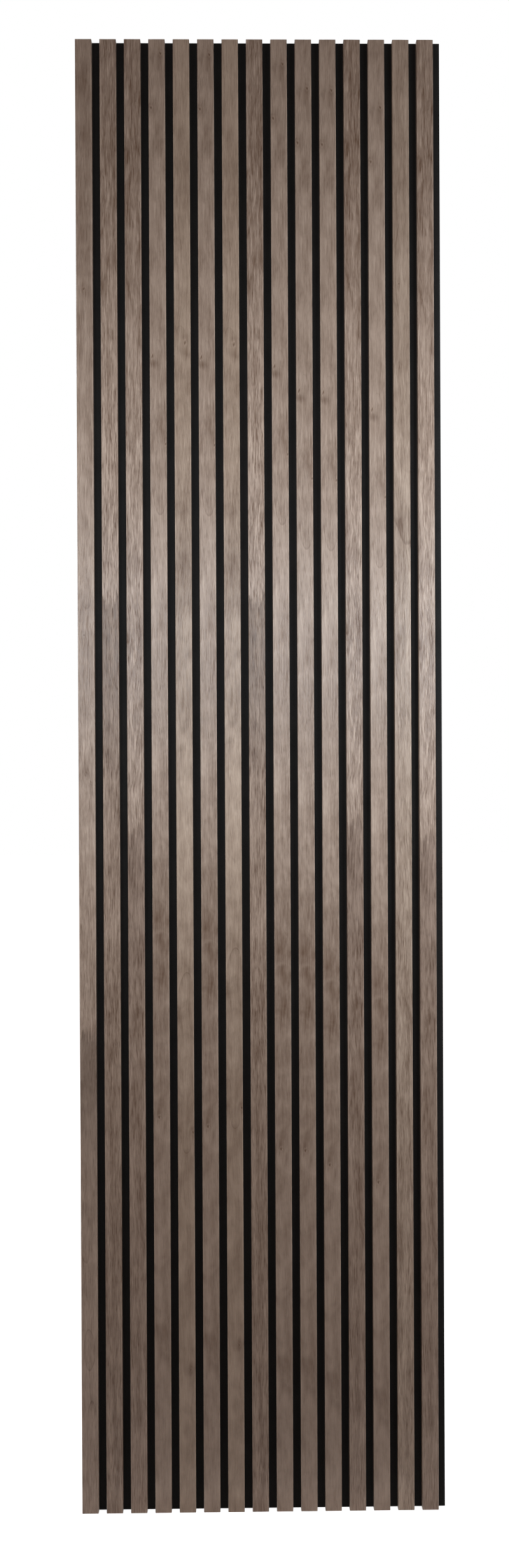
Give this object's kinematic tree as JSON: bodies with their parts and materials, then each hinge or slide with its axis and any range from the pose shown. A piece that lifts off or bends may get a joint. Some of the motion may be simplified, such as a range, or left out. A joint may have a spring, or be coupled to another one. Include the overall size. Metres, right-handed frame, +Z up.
{
  "type": "acoustic slat wall panel",
  "caption": "Tall acoustic wall panel of upright walnut-veneered slats, evenly spaced and stapled to a black felt backing board.",
  "frame": {"origin": "centre of the felt's back face, which lies against the wall", "axes": "+X across the slats to the felt lip, +Y into the wall, +Z up along the slats"},
  "size_m": [0.599, 0.021, 2.42],
  "materials": {
    "felt": "black polyester felt",
    "fibreboard": "bare fibreboard",
    "walnut_veneer": "matt lacquered",
    "staple_wire": "galvanised"
  },
  "bodies": {
    "root": {"felt_backing": "felt", "slat_core_01": "fibreboard", "slat_core_02": "fibreboard", "slat_core_03": "fibreboard", "slat_core_04": "fibreboard", "slat_core_05": "fibreboard", "slat_core_06": "fibreboard", "slat_core_07": "fibreboard", "slat_core_08": "fibreboard", "slat_core_09": "fibreboard", "slat_core_10": "fibreboard", "slat_core_11": "fibreboard", "slat_core_12": "fibreboard", "slat_core_13": "fibreboard", "slat_core_14": "fibreboard", "slat_core_15": "fibreboard", "veneer_wrap_01": "walnut_veneer", "veneer_wrap_02": "walnut_veneer", "veneer_wrap_03": "walnut_veneer", "veneer_wrap_04": "walnut_veneer", "veneer_wrap_05": "walnut_veneer", "veneer_wrap_06": "walnut_veneer", "veneer_wrap_07": "walnut_veneer", "veneer_wrap_08": "walnut_veneer", "veneer_wrap_09": "walnut_veneer", "veneer_wrap_10": "walnut_veneer", "veneer_wrap_11": "walnut_veneer", "veneer_wrap_12": "walnut_veneer", "veneer_wrap_13": "walnut_veneer", "veneer_wrap_14": "walnut_veneer", "veneer_wrap_15": "walnut_veneer", "staples": "staple_wire"}
  },
  "joints": []
}
